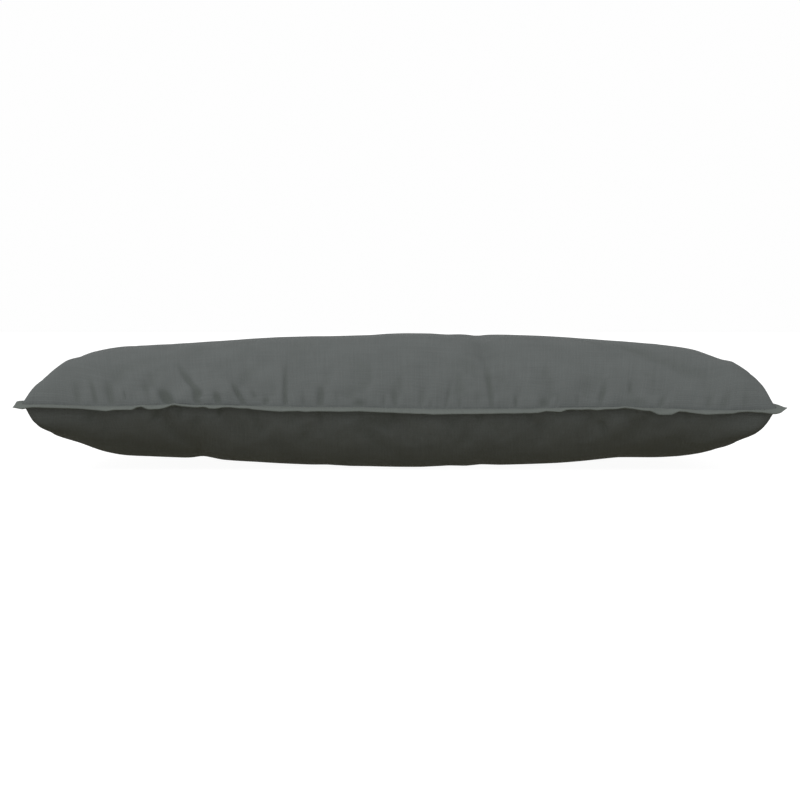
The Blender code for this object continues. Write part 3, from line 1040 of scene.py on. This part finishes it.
@dataclass
class Flange:
    """The flat flange of doubled cloth that stands out all round the seam."""

    seam: SeamLine
    finish: WovenCloth
    cells: tuple[int, int] = (300, 138)
    station_length: float = 2 * MM
    point: float = 1.3 * MM
    point_power: int = 60
    point_reach: float = 4 * MM
    point_thinning: float = 0.5
    droop_power: float = 1.15
    wave: float = 0.30 * MM
    wave_grain: float = 90.0
    wave_layer: float = 3.1
    ripple: float = 0.12 * MM
    ripple_grain: float = 160.0
    ripple_layer: float = 7.7
    weld: float = 0.01 * MM

    @property
    def stations(self) -> int:
        """How many stations there are all round."""
        return 2 * sum(self.cells)

    def station(self, number: int) -> Pair:
        """The point of the square that a station stands on, clockwise from half way along the back."""
        place, marks = (number + self.cells[0] // 2) % self.stations, np.cumsum((0, *self.cells, *self.cells))
        return tuple(float(np.interp(place, marks, line)) for line in SQUARE)

    def middle(self, u: float, v: float, out: float) -> Vector:
        """The middle of the flange's thickness.

        Args:
            u: The station's place along the square.
            v: The same, across it.
            out: How far out from the seam the point is.

        Returns:
            The point.
        """
        x, y = self.seam.plan(u, v, out)
        share = max(0.0, out / self.seam.flange_width)
        x += math.copysign(self.point * share * abs(u * v) ** self.point_power, u)
        level, drop = self.seam.heights(u, v)
        z = level - drop * share**self.droop_power
        z += self.wave * share * unevenness(x, y, self.wave_grain, self.wave_layer)
        z += self.ripple * unevenness(x, y, self.ripple_grain, self.ripple_layer)
        return Vector((x, y, z))

    def fullness(self, u: float, v: float) -> float:
        """Share of the flange's thickness, less at the corners, where its fold comes to a point."""
        x, y = self.seam.half_x * (1 - abs(u)), self.seam.half_y * (1 - abs(v))
        return 1 - self.point_thinning * math.exp(-((x + y) / self.point_reach) ** 2)

    @staticmethod
    def section() -> list[Pair]:
        """The closed cross-section in metres, its upper side out and its lower side back to the start."""
        upper = [(point.out * MM, point.lift * MM) for point in FLANGE_PROFILE]
        return upper + [(out, -lift) for out, lift in reversed(upper[:-1])] + [upper[0]]

    def build(self) -> Object:
        """Makes the flange as a strip of cross-sections whose ends meet.

        Returns:
            The flange.
        """
        section = self.section()
        rows = len(section) - 1
        bm = bmesh.new()
        chart = bm.loops.layers.uv.new(CHART)
        spot = bm.verts.layers.float_vector.new("spot")
        bmesh.ops.create_grid(bm, x_segments=self.stations, y_segments=rows, size=1.0)
        lengths = np.concatenate([[0.0], np.cumsum(np.hypot(*np.diff(np.array(section).T)))])
        for vert in bm.verts:
            number = round((vert.co.x + 1) / 2 * self.stations)
            row = round((vert.co.y + 1) / 2 * rows)
            out, lift = section[row]
            u, v = self.station(number)
            vert[spot] = (number * self.station_length, lengths[row], 0.0)
            vert.co = self.middle(u, v, out) + Vector((0, 0, lift * self.fullness(u, v)))
        for face in bm.faces:
            for loop in face.loops:
                loop[chart].uv = loop.vert[spot][:2]
        bmesh.ops.remove_doubles(bm, verts=bm.verts, dist=self.weld)
        bmesh.ops.recalc_face_normals(bm, faces=bm.faces)
        piece = add_object("flange_cloth_strip", finished_mesh("flange_cloth", bm))
        dress(piece, self.finish.material())
        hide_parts(self.seam.flange.node)
        return piece


@dataclass
class Stitching:
    """The row of tone-on-tone stitches that closes the cover beside the body, on both faces of the flange."""

    flange: Flange
    finish: SewingThread
    out: float = 1.2 * MM
    pitch: float = 3.6 * MM
    length: float = 2.7 * MM
    thick: float = 0.45 * MM
    lift: float = 0.42 * MM
    segments: tuple[int, int] = (6, 4)
    batch: int = 40

    def placings(self) -> list[Matrix]:
        """Where the stitches lie, evenly spaced along the seam on both faces of the flange.

        Returns:
            The matrix of each one.
        """
        stations = range(self.flange.stations + 1)
        points = [self.flange.middle(*self.flange.station(number), self.out) for number in stations]
        spans = [(b - a).length for a, b in zip(points, points[1:])]
        step = sum(spans) / round(sum(spans) / self.pitch)
        size = Matrix.Diagonal((self.length / 2, self.thick / 2, self.thick / 2, 1.0))
        found, walked, target = [], 0.0, step / 2
        for first, second, span in zip(points, points[1:], spans):
            run = (second - first).normalized()
            side = Vector((0, 0, 1)).cross(run).normalized()
            turn = Matrix((run, side, run.cross(side))).transposed().to_4x4()
            while target <= walked + span:
                place = first.lerp(second, (target - walked) / span)
                lifts = (Vector((0, 0, panel.value * self.lift)) for panel in Panel)
                found += [Matrix.Translation(place + lift) @ turn @ size for lift in lifts]
                target += step
            walked += span
        return found

    def build(self) -> Object:
        """Makes the stitches as one piece, a batch at a time because a big bmesh takes them slowly.

        Returns:
            The stitches.
        """
        joined = bmesh.new()
        placings = self.placings()
        around, along = self.segments
        for first in range(0, len(placings), self.batch):
            bm = bmesh.new()
            for placing in placings[first : first + self.batch]:
                bmesh.ops.create_uvsphere(bm, u_segments=around, v_segments=along, radius=1.0, matrix=placing)
            part = finished_mesh("stitches_part", bm)
            joined.from_mesh(part)
            bpy.data.meshes.remove(part)
        piece = add_object("seam_stitches", finished_mesh("stitches", joined))
        dress(piece, self.finish.material())
        return piece


@dataclass(frozen=True)
class Studio:
    """A plain pale floor, soft light from above and the photograph's camera."""

    camera_place: Place = (0.0, -2.7, 0.1142)
    camera_target: Place = (0.0, 0.0, 0.0531)
    camera_reach: float = 100.0
    lens: float = 144.75
    sky: Colour = (0.99, 0.99, 0.99)
    ground: Colour = (0.158, 0.138, 0.070)
    horizon: Pair = (-0.60, -0.06)
    key_place: Place = (-1.05, -1.7, 1.3)
    key_target: Place = (0.0, 0.0, 0.05)
    key_size: float = 1.3
    key_watts: float = 19.0
    floor_half: float = 60.0
    floor_cells: int = 4
    floor_colour: Colour = (0.2, 0.2, 0.2)
    floor_light: float = 0.95

    @staticmethod
    def aim(thing: Object, place: Place, target: Place) -> None:
        """Puts a camera or lamp in its place, facing a point."""
        thing.location = place
        thing.rotation_euler = (Vector(target) - Vector(place)).to_track_quat("-Z", "Y").to_euler()

    def add_camera(self) -> None:
        """Makes the camera that the photograph was taken with."""
        data = bpy.data.cameras.new("camera")
        data.lens = self.lens
        data.clip_end = self.camera_reach
        camera = add_object("camera", data)
        self.aim(camera, self.camera_place, self.camera_target)
        bpy.context.scene.camera = camera

    def add_light(self) -> None:
        """Makes the white surroundings, dimmer and warmer below, and one large soft lamp."""
        scene = bpy.context.scene
        scene.view_settings.view_transform = "Standard"
        scene.world = bpy.data.worlds.new("studio")
        graph = Graph(scene.world)
        way = graph.node("ShaderNodeTexCoord", {}, "Generated")
        height = graph.node("ShaderNodeSeparateXYZ", {0: way}).part("Z")
        limits = {"Value": height, "From Min": self.horizon[0], "From Max": self.horizon[1]}
        rise = graph.node("ShaderNodeMapRange", limits, interpolation_type="SMOOTHSTEP")
        colour = graph.blend(shade(self.ground), shade(self.sky), rise)
        light = graph.node("ShaderNodeBackground", {"Color": colour})
        graph.node("ShaderNodeOutputWorld", {"Surface": light})
        data = bpy.data.lights.new("key", "AREA")
        data.size = self.key_size
        data.energy = self.key_watts
        self.aim(add_object("key", data), self.key_place, self.key_target)

    def add_floor(self) -> None:
        """Makes the lit white table that the cushion lies on."""
        bm = bmesh.new()
        cells = self.floor_cells
        bmesh.ops.create_grid(bm, x_segments=cells, y_segments=cells, size=self.floor_half)
        graph = Graph(bpy.data.materials.new("pale_table"))
        sockets = {
            "Base Color": shade(self.floor_colour),
            "Roughness": 1.0,
            "Specular IOR Level": 0.0,
            "Emission Color": (1.0, 1.0, 1.0, 1.0),
            "Emission Strength": self.floor_light,
        }
        graph.surface(sockets)
        floor = add_object("floor", finished_mesh("floor", bm))
        floor.data.materials.append(graph.owner)
        floor.visible_diffuse = floor.visible_glossy = False

    def build(self) -> None:
        """Makes the camera, the light and the floor."""
        self.add_camera()
        self.add_light()
        self.add_floor()


def main() -> None:
    """Makes every piece in order."""
    logging.basicConfig(level=logging.INFO, format="%(name)s: %(message)s")
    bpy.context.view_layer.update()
    panel_cloth = WovenCloth("anthracite_panel_weave", (0.097, 0.105, 0.103))
    # The flange is the panels' own cloth; its colour is made lighter as a painted highlight
    flange_cloth = WovenCloth("anthracite_flange_weave", (0.111, 0.122, 0.114), crumple_relief=0.05)
    thread = SewingThread("anthracite_thread", (0.085, 0.092, 0.090))
    Studio().build()
    cut = FlatCut()
    seam = SeamLine(CadSolid("cushion"), CadSolid("flange"))
    cover = Cover(seam, panel_cloth, cut, Filling(cut), Trimming(cut), HiddenPuckers())
    flange = Flange(seam, flange_cloth)
    for part in (cover, flange, Stitching(flange, thread)):
        piece = part.build()
        triangles = sum(len(face.vertices) - 2 for face in piece.data.polygons)
        LOG.info("%s: %d triangles", piece.name, triangles)


if __name__ == "__main__":
    main()
